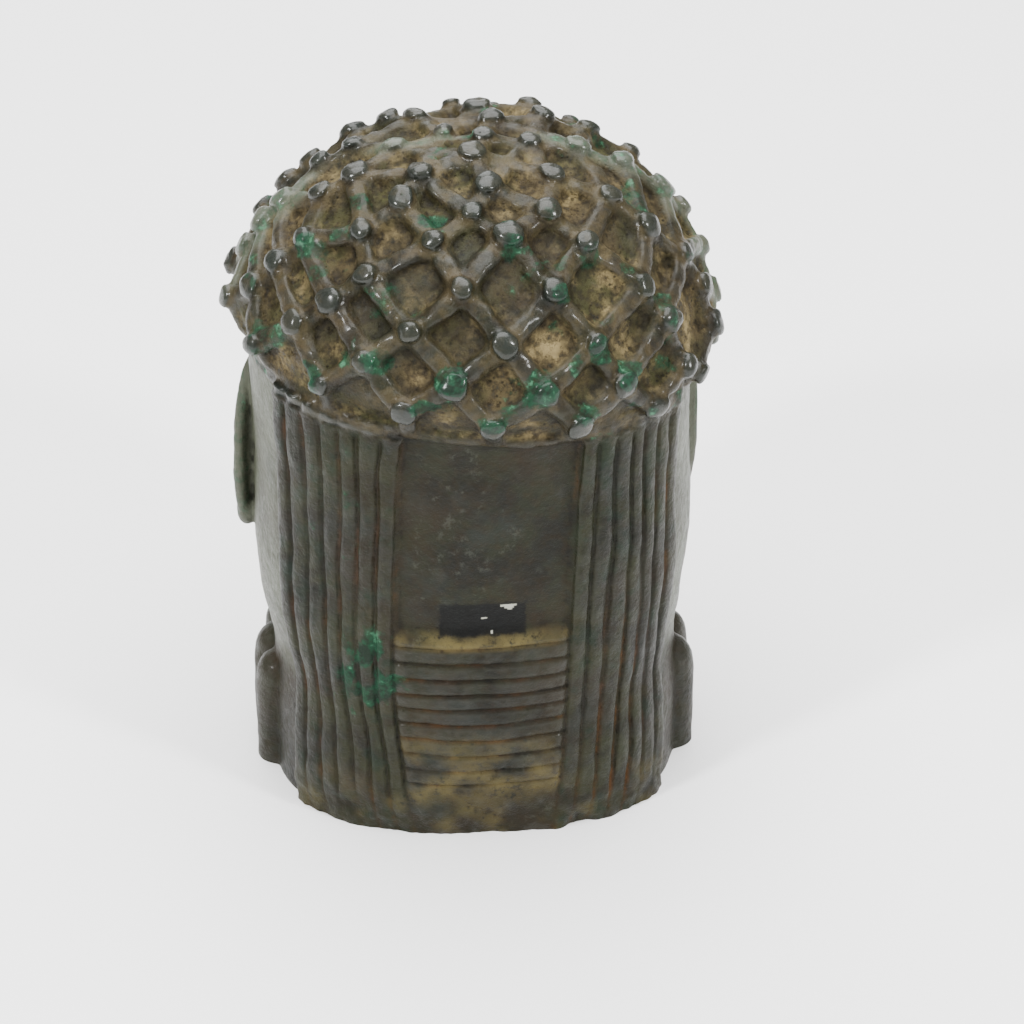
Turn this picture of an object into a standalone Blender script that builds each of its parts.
"""Bronze commemorative head, one casting modelled as one closed solid.

The head stands on its flat base. The face looks toward -Y, so the back with its two hanging strips
of hair looks toward +Y. Lengths are metres, angles are degrees, and an azimuth is counted from the
back (+Y) toward the head's own left (+X).
"""
import math
import random

import bmesh
import bpy
from mathutils import Matrix, Vector

NODE_NAME = "commemorative_head"

# Body below the cap: height, half width, depth to the back, depth to the front, squareness behind.
BODY_SECTIONS = (
    (0.000, 0.0835, 0.0725, 0.0800, 2.55),
    (0.030, 0.0828, 0.0762, 0.0790, 2.45),
    (0.058, 0.0815, 0.0775, 0.0735, 2.25),
    (0.078, 0.0848, 0.0780, 0.0810, 2.25),
    (0.105, 0.0872, 0.0785, 0.0850, 2.25),
    (0.150, 0.0862, 0.0795, 0.0860, 2.25),
    (0.200, 0.0870, 0.0810, 0.0870, 2.25),
)
FRONT_SQUARENESS = 2.15
CUT_ALLOWANCE = 0.006

# Cap: an uneven dome whose rim hangs lower on the head's right.
CAP_HALF_WIDTH = 0.0912
CAP_HALF_DEPTH = 0.0889
CAP_WIDEST_HEIGHT = 0.204
CAP_RISE = 0.0644
CAP_TAPER = 0.05
CAP_SHIFT = -0.0035
CAP_OFFSET = -0.0015
CAP_TURN_UNDER = 0.040
CAP_RIM_ELEVATION = -26.0
CAP_SLANT = 0.075
LIP_RADIUS = 0.0036
BODY_TOP_DEPTH = 0.004

# Net on the cap: rings of knobs as elevation, count and azimuth of the first knob. The rings hang
# lower on the head's right, by an angle that fades toward the crown, and arch higher behind.
NET_RINGS = (
    (-5.5, 17, -1.0),
    (7.5, 17, 9.0),
    (19.5, 15, -3.0),
    (31.0, 13, 8.5),
    (44.0, 13, -8.0),
    (57.0, 11, 7.0),
    (68.5, 8, 0.0),
    (79.5, 4, 16.0),
    (89.0, 1, 0.0),
)
NET_SLANT = 6.0
NET_ARCH = 8.0
NET_ARCH_AZIMUTH = -3.0
NET_ARCH_SPREAD = 30.0
NET_ARCH_ELEVATION = 42.0
NET_ARCH_REACH = 16.0
NET_SEED = 7
NET_WANDER = 1.4
NET_RIB_RADIUS = 0.0040
NET_RIB_LIFT = 0.0010
NET_FOOT_SHARE = 0.85
NET_REACH = 0.85
KNOB_RADIUS = 0.0055
KNOB_LIFT = 0.0035
KNOB_FLATNESS = 0.95

# Strips of upright ribs down the back: heights and azimuths of their edges.
STRIP_RIBS = 7
STRIP_INNER_LEFT = ((0.0, 20.0), (0.060, 24.2), (0.110, 24.0), (0.190, 20.6))
STRIP_INNER_RIGHT = ((0.0, 20.5), (0.060, 23.6), (0.110, 24.0), (0.190, 27.0))
STRIP_OUTER = ((0.0, 57.0), (0.060, 59.0), (0.110, 59.5), (0.190, 60.0))
STRIP_RIB_RADIUS = 0.0048
STRIP_RIB_SINK = 0.0010
STRIP_TOP_DEPTH = 0.010

# Bands across the back between the strips, under a sloping shoulder.
BAND_COUNT = 9
BAND_PITCH = 0.0074
BAND_GROOVE = 0.0012
BAND_TOP = 0.0925
BAND_LIFT = 0.0034
SHOULDER_TOP = 0.102
BASE_BAND_LIFT = 0.0026
BAND_ROOT = -0.008
BAND_EDGE = 0.0012
BAND_TUCK = 2.5

# Collar in front, with the same bands, between three upright lobes at each side.
COLLAR_TOP = 0.052
COLLAR_BANDS = 6
COLLAR_START = 118.0
LOBE_AZIMUTHS = (80.0, 94.5, 109.0)
LOBE_RADIUS = 0.0104
LOBE_HEIGHT = 0.050
LOBE_LIFT = -0.0024

# Ears: upright plates with a rolled edge.
EAR_HEIGHT = 0.072
EAR_MIDDLE = 0.141
EAR_WIDTH = 0.020
EAR_THICKNESS = 0.0075
EAR_LIFT_LEFT = 0.0004
EAR_LIFT_RIGHT = -0.0046
EAR_AZIMUTH = 92.0
EAR_TURN = 34.0
EAR_LEAN = 3.5
EAR_RIM_RADIUS = 0.0026

# Face: plain thirds, from the brow to the base of the nose.
BROW_HEIGHT = 0.163
NOSE_BASE_HEIGHT = 0.119
EYE_HEIGHT = 0.149
EYE_SPACING = 0.062
EYE_WIDTH = 0.031
EYE_OPENING = 0.0125
MOUTH_HEIGHT = 0.1035
MOUTH_WIDTH = 0.047
NOSE_REACH = 0.0185
NOSE_WIDTH = 0.036

# Soft forms of the face: distance from the middle, height, half reach across, half reach up, swell.
FACE_FORMS = (
    (0.000, 0.178, 0.050, 0.020, 0.0030),
    (0.030, 0.163, 0.022, 0.007, 0.0028),
    (0.031, 0.147, 0.021, 0.011, -0.0052),
    (0.000, 0.150, 0.010, 0.018, 0.0020),
    (0.042, 0.124, 0.019, 0.017, 0.0048),
    (0.000, 0.106, 0.030, 0.014, 0.0050),
    (0.000, 0.091, 0.020, 0.006, -0.0018),
    (0.000, 0.078, 0.023, 0.012, 0.0085),
    (0.050, 0.088, 0.022, 0.016, 0.0020),
    (0.074, 0.150, 0.012, 0.020, -0.0030),
)

# Meshing.
VOXEL = 0.0014
TRIANGLES = 9700

BRONZE = (0.075, 0.072, 0.058, 1.0)


def clear_scene():
    """Remove every object of the open scene."""
    for scene_object in list(bpy.data.objects):
        bpy.data.objects.remove(scene_object, do_unlink=True)


def eased(pairs, at):
    """Value at a place along pairs of (place, value), as a smooth curve through them."""
    if at <= pairs[0][0]:
        return pairs[0][1]
    if at >= pairs[-1][0]:
        return pairs[-1][1]
    slopes = []
    for index in range(len(pairs)):
        before = pairs[max(index - 1, 0)]
        after = pairs[min(index + 1, len(pairs) - 1)]
        slopes.append((after[1] - before[1]) / (after[0] - before[0]))
    for index in range(len(pairs) - 1):
        start, end = pairs[index], pairs[index + 1]
        if at <= end[0]:
            span = end[0] - start[0]
            t = (at - start[0]) / span
            rise = (2 * t**3 - 3 * t**2 + 1) * start[1] + (3 * t**2 - 2 * t**3) * end[1]
            lean = (t**3 - 2 * t**2 + t) * slopes[index] + (t**3 - t**2) * slopes[index + 1]
            return rise + span * lean
    return pairs[-1][1]


def body_sizes(height):
    """Half width, back depth, front depth and squareness behind of the body at a height."""
    sizes = []
    for column in (1, 2, 3, 4):
        pairs = [(section[0], section[column]) for section in BODY_SECTIONS]
        sizes.append(eased(pairs, height))
    return sizes


def face_relief(across, height):
    """How far the face's soft forms stand out from the plain body, as a sum of rounded swellings."""
    lift = 0.0
    for side_place, place, side_reach, reach, swell in FACE_FORMS:
        for side in ((1, -1) if side_place else (1,)):
            out = (across - side * side_place) / side_reach
            up = (height - place) / reach
            lift += swell * math.exp(-out * out - up * up)
    return lift


def body_point(azimuth, height, lift=0.0):
    """Point on the body's surface, moved out by lift."""
    half_width, back, front, back_squareness = body_sizes(height)
    across = math.sin(math.radians(azimuth))
    along = math.cos(math.radians(azimuth))
    depth = back if along > 0 else front
    squareness = back_squareness if along > 0 else FRONT_SQUARENESS
    reach = (abs(across) / half_width) ** squareness + (abs(along) / depth) ** squareness
    radius = reach ** (-1.0 / squareness) + lift
    if along < 0:
        radius += face_relief(radius * across, height) * abs(along)
    return Vector((radius * across, radius * along, height))


def face_point(across, height, lift=0.0):
    """Point on the front of the body at a distance from the middle, moved forward by lift."""
    half_width, _, front, _ = body_sizes(height)
    share = min(abs(across) / half_width, 0.999)
    depth = front * (1.0 - share**FRONT_SQUARENESS) ** (1.0 / FRONT_SQUARENESS)
    return Vector((across, -depth - lift - face_relief(across, height), height))


def cap_point(direction, lift=0.0):
    """Point on the cap's surface in a direction from its middle, moved out by lift."""
    unit = direction.normalized()
    rise = CAP_RISE if unit.z > 0 else CAP_TURN_UNDER
    point = Vector((unit.x * CAP_HALF_WIDTH, unit.y * CAP_HALF_DEPTH, unit.z * rise))
    normal = Vector((unit.x / CAP_HALF_WIDTH, unit.y / CAP_HALF_DEPTH, unit.z / rise)).normalized()
    high = max(unit.z, 0.0)
    narrow = 1.0 - CAP_TAPER * math.sin(math.pi * min(high * 1.1, 1.0))
    slant = CAP_SLANT * point.x * (1.0 - high)
    point = Vector((point.x * narrow + CAP_SHIFT * high + CAP_OFFSET, point.y * narrow, point.z))
    return point + normal * lift + Vector((0.0, 0.0, CAP_WIDEST_HEIGHT + slant))


def cap_direction(azimuth, elevation):
    """Direction from the cap's middle, for cap_point."""
    level = math.cos(math.radians(elevation))
    return Vector((
        level * math.sin(math.radians(azimuth)),
        level * math.cos(math.radians(azimuth)),
        math.sin(math.radians(elevation)),
    ))


def skin(form, rings, looped=False):
    """Add a closed skin over rings of points. A looped skin joins its last ring to its first."""
    rows = [[form.verts.new(point) for point in ring] for ring in rings]
    count = len(rows[0])
    pairs = list(zip(rows, rows[1:]))
    if looped:
        pairs.append((rows[-1], rows[0]))
    for lower, upper in pairs:
        for index in range(count):
            after = (index + 1) % count
            form.faces.new((lower[index], lower[after], upper[after], upper[index]))
    if not looped:
        form.faces.new(list(reversed(rows[0])))
        form.faces.new(rows[-1])


def tube(form, points, radii, sides=10):
    """Add a round bar along points, with a radius at each point and rounded ends."""
    rings = []
    last = len(points) - 1
    side_way = Vector((0.0, 0.0, 1.0))
    for index, point in enumerate(points):
        forward = (points[min(index + 1, last)] - points[max(index - 1, 0)]).normalized()
        if abs(forward.dot(side_way)) > 0.9:
            side_way = Vector((0.0, 1.0, 0.0))
        across = forward.cross(side_way).normalized()
        up = across.cross(forward)
        side_way = up
        ring = []
        for side in range(sides):
            turn = 2 * math.pi * side / sides
            ring.append(point + (across * math.cos(turn) + up * math.sin(turn)) * radii[index])
        rings.append(ring)
    skin(form, rings)
    for end in (0, last):
        ball(form, points[end], (radii[end],) * 3)


def ball(form, centre, radii, turn=None):
    """Add an ellipsoid with three radii, turned by a rotation matrix."""
    rotation = turn if turn else Matrix.Identity(3)
    rings = []
    for latitude in range(-75, 76, 15):
        level = math.cos(math.radians(latitude))
        rise = math.sin(math.radians(latitude)) * radii[2]
        ring = []
        for side in range(12):
            angle = 2 * math.pi * side / 12
            offset = Vector((level * math.cos(angle) * radii[0], level * math.sin(angle) * radii[1], rise))
            ring.append(centre + rotation @ offset)
        rings.append(ring)
    skin(form, rings)


def add_body(form):
    """Add the body from below the base to inside the cap."""
    rings = []
    top = CAP_WIDEST_HEIGHT - BODY_TOP_DEPTH
    steps = 64
    for step in range(steps + 1):
        height = -CUT_ALLOWANCE + (top + CUT_ALLOWANCE) * step / steps
        rings.append([body_point(-azimuth, height) for azimuth in range(0, 360, 3)])
    skin(form, rings)


def add_cap(form):
    """Add the plain dome of the cap with its turned-under edge and lip."""
    rings = []
    elevation = CAP_RIM_ELEVATION
    while elevation < 88.0:
        rings.append([cap_point(cap_direction(-azimuth, elevation)) for azimuth in range(0, 360, 5)])
        elevation += 4.0
    skin(form, rings)
    lip = []
    for azimuth in range(0, 360, 5):
        middle = cap_point(cap_direction(azimuth, CAP_RIM_ELEVATION + 2.0))
        outward = Vector((middle.x, middle.y, 0.0)).normalized()
        ring = []
        for side in range(10):
            turn = 2 * math.pi * side / 10
            ring.append(middle + (outward * math.cos(turn) + Vector((0, 0, math.sin(turn)))) * LIP_RADIUS)
        lip.append(ring)
    skin(form, lip, looped=True)


def arch(azimuth, elevation):
    """How far a ring of the net rises at an azimuth, in degrees."""
    aside = ((azimuth - NET_ARCH_AZIMUTH + 180.0) % 360.0 - 180.0) / NET_ARCH_SPREAD
    above = (elevation - NET_ARCH_ELEVATION) / NET_ARCH_REACH
    return NET_ARCH * math.exp(-aside * aside - above * above)


def net_knobs():
    """Rings of knobs as directions from the cap's middle, each a little out of its even place."""
    wander = random.Random(NET_SEED)
    rings = []
    for elevation, count, first in NET_RINGS:
        ring = []
        for index in range(count):
            azimuth = first + 360.0 * index / count + wander.uniform(-NET_WANDER, NET_WANDER)
            hang = NET_SLANT * math.sin(math.radians(azimuth)) * math.cos(math.radians(elevation)) ** 2
            height = elevation + hang + arch(azimuth, elevation) + wander.uniform(-NET_WANDER, NET_WANDER) * 0.7
            ring.append((azimuth, cap_direction(azimuth, height), wander.uniform(0.88, 1.12)))
        rings.append(ring)
    return rings


def net_links(lower, upper):
    """Pairs of knobs of two rings that a rib joins: the nearest above on either side."""
    reach = NET_REACH * 360.0 / len(upper)
    links = []
    for azimuth, direction, _ in lower:
        for other, other_direction, _ in upper:
            gap = abs((azimuth - other + 180.0) % 360.0 - 180.0)
            if gap < reach:
                links.append((direction, other_direction))
    return links


def add_net(form):
    """Add the diamond net of ribs with a knob at each crossing."""
    rings = net_knobs()
    for ring in rings:
        for _, direction, size in ring:
            centre = cap_point(direction, KNOB_LIFT)
            outward = (cap_point(direction, 1.0) - cap_point(direction)).normalized()
            turn = outward.to_track_quat("Z", "Y").to_matrix()
            radius = KNOB_RADIUS * size
            ball(form, centre, (radius, radius, radius * KNOB_FLATNESS), turn)
    for lower, upper in zip(rings, rings[1:]):
        for start, end in net_links(lower, upper):
            steps = 6
            points = [cap_point(start.lerp(end, step / steps), NET_RIB_LIFT) for step in range(steps + 1)]
            tube(form, points, [NET_RIB_RADIUS] * (steps + 1), sides=8)
    for _, direction, _ in rings[0]:
        azimuth = math.degrees(math.atan2(direction.x, direction.y))
        foot = cap_direction(azimuth, CAP_RIM_ELEVATION + 4.0)
        points = [cap_point(direction.lerp(foot, step / 3), NET_RIB_LIFT) for step in range(4)]
        tube(form, points, [NET_RIB_RADIUS * NET_FOOT_SHARE] * 4, sides=8)


def strip_azimuth(side, share, height):
    """Azimuth at a share of the way across a strip, from its inner to its outer edge."""
    inner = eased(STRIP_INNER_LEFT if side > 0 else STRIP_INNER_RIGHT, height)
    outer = eased(STRIP_OUTER, height)
    return side * (inner + (outer - inner) * share)


def add_strips(form):
    """Add the two strips of upright ribs."""
    steps = 24
    top = CAP_WIDEST_HEIGHT - STRIP_TOP_DEPTH
    for side in (1, -1):
        for rib in range(STRIP_RIBS):
            share = (rib + 0.5) / STRIP_RIBS
            points = []
            for step in range(steps + 1):
                height = -CUT_ALLOWANCE + (top + CUT_ALLOWANCE) * step / steps
                azimuth = strip_azimuth(side, share, height)
                points.append(body_point(azimuth, height, -STRIP_RIB_SINK))
            tube(form, points, [STRIP_RIB_RADIUS] * (steps + 1))


def add_band(form, azimuths, low, high, lift, top_lift=None):
    """Add one band along azimuths of the body, from low to high, standing out by lift."""
    soft = min(BAND_EDGE, (high - low) / 4)
    upper = lift if top_lift is None else top_lift
    profile = (
        (BAND_ROOT, low),
        (lift - soft, low),
        (lift, low + soft),
        (upper, high - soft),
        (upper - soft, high),
        (BAND_ROOT, high),
    )
    rings = []
    for azimuth in azimuths:
        rings.append([body_point(azimuth, height, out) for out, height in profile])
    skin(form, rings)


def spread(start, end, steps):
    """Evenly spaced values from start to end."""
    return [start + (end - start) * step / steps for step in range(steps + 1)]


def add_back_bands(form):
    """Add the bands between the strips, the shoulder above them and the plain foot below."""
    for band in range(BAND_COUNT):
        high = BAND_TOP - band * BAND_PITCH
        low = high - BAND_PITCH + BAND_GROOVE
        left = strip_azimuth(1, 0.0, high) + BAND_TUCK
        right = strip_azimuth(-1, 0.0, high) - BAND_TUCK
        add_band(form, spread(right, left, 16), low, high, BAND_LIFT)
    left = strip_azimuth(1, 0.0, BAND_TOP) + BAND_TUCK
    right = strip_azimuth(-1, 0.0, BAND_TOP) - BAND_TUCK
    add_band(form, spread(right, left, 16), BAND_TOP - BAND_GROOVE, SHOULDER_TOP, BAND_LIFT, 0.0)
    foot_top = BAND_TOP - BAND_COUNT * BAND_PITCH
    add_band(form, spread(right, left, 16), -CUT_ALLOWANCE, foot_top, BASE_BAND_LIFT)


def add_collar(form):
    """Add the collar's bands in front and the upright lobes beside them."""
    pitch = COLLAR_TOP / COLLAR_BANDS
    azimuths = spread(COLLAR_START, 360.0 - COLLAR_START, 36)
    for band in range(COLLAR_BANDS):
        low = band * pitch if band else -CUT_ALLOWANCE
        high = (band + 1) * pitch - BAND_GROOVE
        add_band(form, azimuths, low, high, BAND_LIFT)
    for side in (1, -1):
        for azimuth in LOBE_AZIMUTHS:
            foot = body_point(side * azimuth, -CUT_ALLOWANCE, LOBE_LIFT)
            waist = body_point(side * azimuth, LOBE_HEIGHT * 0.45, LOBE_LIFT + 0.0012)
            head = body_point(side * azimuth, LOBE_HEIGHT - LOBE_RADIUS, LOBE_LIFT)
            tube(form, [foot, waist, head], [LOBE_RADIUS * 0.95, LOBE_RADIUS, LOBE_RADIUS * 0.9], sides=16)


def add_ears(form):
    """Add both ears, plates that flare outward and back, with a rolled edge and an inner fold."""
    for side in (1, -1):
        root = body_point(side * EAR_AZIMUTH, EAR_MIDDLE, EAR_LIFT_LEFT if side > 0 else EAR_LIFT_RIGHT)
        turn = Matrix.Rotation(math.radians(-EAR_LEAN), 3, "Y") @ Matrix.Rotation(
            math.radians(side * (90.0 - EAR_TURN)), 3, "Z")
        outward = turn @ Vector((side, 0.0, 0.0))
        upward = turn @ Vector((0.0, 0.0, 1.0))
        centre = root
        ball(form, centre, (EAR_WIDTH / 2, EAR_THICKNESS / 2, EAR_HEIGHT / 2), turn)
        edge = []
        for angle in range(-100, 131, 10):
            out = math.cos(math.radians(angle)) * EAR_WIDTH * 0.5
            rise = math.sin(math.radians(angle)) * EAR_HEIGHT * 0.5
            edge.append(centre + outward * out + upward * rise)
        tube(form, edge, [EAR_RIM_RADIUS] * len(edge), sides=8)
        fold = []
        for angle in range(-60, 91, 15):
            out = math.cos(math.radians(angle)) * EAR_WIDTH * 0.22
            rise = math.sin(math.radians(angle)) * EAR_HEIGHT * 0.3
            fold.append(centre + outward * out + upward * rise + Vector((0.0, -EAR_THICKNESS * 0.35, 0.0)))
        tube(form, fold, [EAR_RIM_RADIUS * 0.8] * len(fold), sides=8)
        lobule = centre + outward * EAR_WIDTH * 0.12 - upward * EAR_HEIGHT * 0.42
        ball(form, lobule, (EAR_WIDTH * 0.28, EAR_THICKNESS * 0.6, EAR_HEIGHT * 0.11), turn)


def add_nose(form):
    """Add the nose as a skin over cross-sections, with rounded wings."""
    sections = (
        (BROW_HEIGHT + 0.002, 0.16, 0.20),
        (EYE_HEIGHT + 0.004, 0.20, 0.34),
        (EYE_HEIGHT - 0.010, 0.26, 0.58),
        (NOSE_BASE_HEIGHT + 0.012, 0.34, 0.92),
        (NOSE_BASE_HEIGHT + 0.005, 0.36, 1.00),
        (NOSE_BASE_HEIGHT, 0.30, 0.80),
    )
    rings = []
    for height, width, reach in sections:
        ring = []
        for side in range(16):
            turn = 2 * math.pi * side / 16
            across = math.cos(turn) * width * NOSE_WIDTH
            forward = math.sin(turn)
            lift = forward * reach * NOSE_REACH if forward > 0 else forward * 0.006
            base = face_point(across, height)
            ring.append(Vector((across, base.y - lift, height)))
        rings.append(ring)
    skin(form, rings)
    for side in (1, -1):
        wing = face_point(side * NOSE_WIDTH * 0.33, NOSE_BASE_HEIGHT + 0.005, NOSE_REACH * 0.32)
        ball(form, wing, (NOSE_WIDTH * 0.17, NOSE_WIDTH * 0.24, NOSE_WIDTH * 0.17))


def add_eyes(form):
    """Add each eye as a smooth almond between two lids, under a soft brow."""
    for side in (1, -1):
        middle = side * EYE_SPACING / 2
        eye = face_point(middle, EYE_HEIGHT, -0.0035)
        ball(form, eye, (EYE_WIDTH * 0.46, 0.0085, EYE_OPENING * 0.62))
        for way, bow in ((1, 1.0), (-1, 0.72)):
            lid = []
            for step in range(-8, 9):
                share = step / 8
                across = middle + share * EYE_WIDTH / 2
                rise = way * bow * EYE_OPENING * 0.5 * (1.0 - share * share) + 0.0012 * share * side
                bulge = 0.0042 * (1.0 - share * share)
                lid.append(face_point(across, EYE_HEIGHT + rise, bulge - 0.0004))
            tube(form, lid, [0.0017] * len(lid), sides=8)
        brow = []
        for step in range(9):
            share = step / 8
            across = side * (0.011 + share * (EYE_WIDTH + 0.008))
            rise = 0.0055 * math.sin(math.pi * min(share * 0.95 + 0.12, 1.0))
            brow.append(face_point(across, BROW_HEIGHT - 0.004 + rise, -0.0016))
        tube(form, brow, [0.0040 - 0.0020 * abs(step / 8 - 0.35) for step in range(9)], sides=10)


def add_mouth(form):
    """Add the closed lips."""
    for way, thick in ((1, 0.0040), (-1, 0.0048)):
        lip = []
        radii = []
        for step in range(-8, 9):
            share = step / 8
            dip = 0.0010 * math.exp(-(share * 5.0) ** 2) if way > 0 else 0.0
            rise = way * thick * 0.80 * (1.0 - share * share) - dip
            bulge = 0.0030 * (1.0 - share * share)
            lip.append(face_point(share * MOUTH_WIDTH / 2, MOUTH_HEIGHT + rise, bulge - 0.0006))
            radii.append(thick * (1.0 - 0.72 * share * share))
        tube(form, lip, radii, sides=12)


def level_cut(form):
    """Cut the form off flat at the ground and close it there."""
    geometry = form.verts[:] + form.edges[:] + form.faces[:]
    cut = bmesh.ops.bisect_plane(
        form, geom=geometry, plane_co=(0, 0, 0), plane_no=(0, 0, 1), clear_inner=True)
    rim = [edge for edge in cut["geom_cut"] if isinstance(edge, bmesh.types.BMEdge)]
    for vertex in {vertex for edge in rim for vertex in edge.verts}:
        vertex.co.z = 0.0
    bmesh.ops.holes_fill(form, edges=rim)


def evaluated_mesh(scene_object):
    """Mesh of an object with its modifiers."""
    bpy.context.view_layer.update()
    graph = bpy.context.evaluated_depsgraph_get()
    return bpy.data.meshes.new_from_object(scene_object.evaluated_get(graph))


def fused(form):
    """One closed mesh fused from the overlapping forms, thinned to the number of triangles wanted."""
    mesh = bpy.data.meshes.new("forms")
    form.to_mesh(mesh)
    form.free()
    source = bpy.data.objects.new("forms", mesh)
    bpy.context.scene.collection.objects.link(source)
    remesh = source.modifiers.new("Fuse", "REMESH")
    remesh.mode = "VOXEL"
    remesh.voxel_size = VOXEL
    full = len(evaluated_mesh(source).loop_triangles) or len(evaluated_mesh(source).polygons) * 2
    thin = source.modifiers.new("Thin", "DECIMATE")
    thin.ratio = min(1.0, TRIANGLES / full)
    result = evaluated_mesh(source)
    bpy.data.objects.remove(source, do_unlink=True)
    return result


def bronze_material():
    """Dark patinated bronze."""
    material = bpy.data.materials.new("bronze")
    material.use_nodes = True
    shader = material.node_tree.nodes["Principled BSDF"]
    shader.inputs["Base Color"].default_value = BRONZE
    shader.inputs["Roughness"].default_value = 0.45
    shader.inputs["Metallic"].default_value = 0.8
    return material


def main():
    """Build the head."""
    clear_scene()
    form = bmesh.new()
    for add in (add_body, add_cap, add_net, add_strips, add_back_bands, add_collar, add_ears,
                add_nose, add_eyes, add_mouth):
        add(form)
    bmesh.ops.recalc_face_normals(form, faces=form.faces[:])
    mesh = fused(form)
    solid = bmesh.new()
    solid.from_mesh(mesh)
    level_cut(solid)
    bmesh.ops.triangulate(solid, faces=solid.faces[:])
    bmesh.ops.recalc_face_normals(solid, faces=solid.faces[:])
    mesh.clear_geometry()
    solid.to_mesh(mesh)
    solid.free()
    mesh.name = NODE_NAME
    head = bpy.data.objects.new(NODE_NAME, mesh)
    head.data.materials.append(bronze_material())
    bpy.context.scene.collection.objects.link(head)


main()
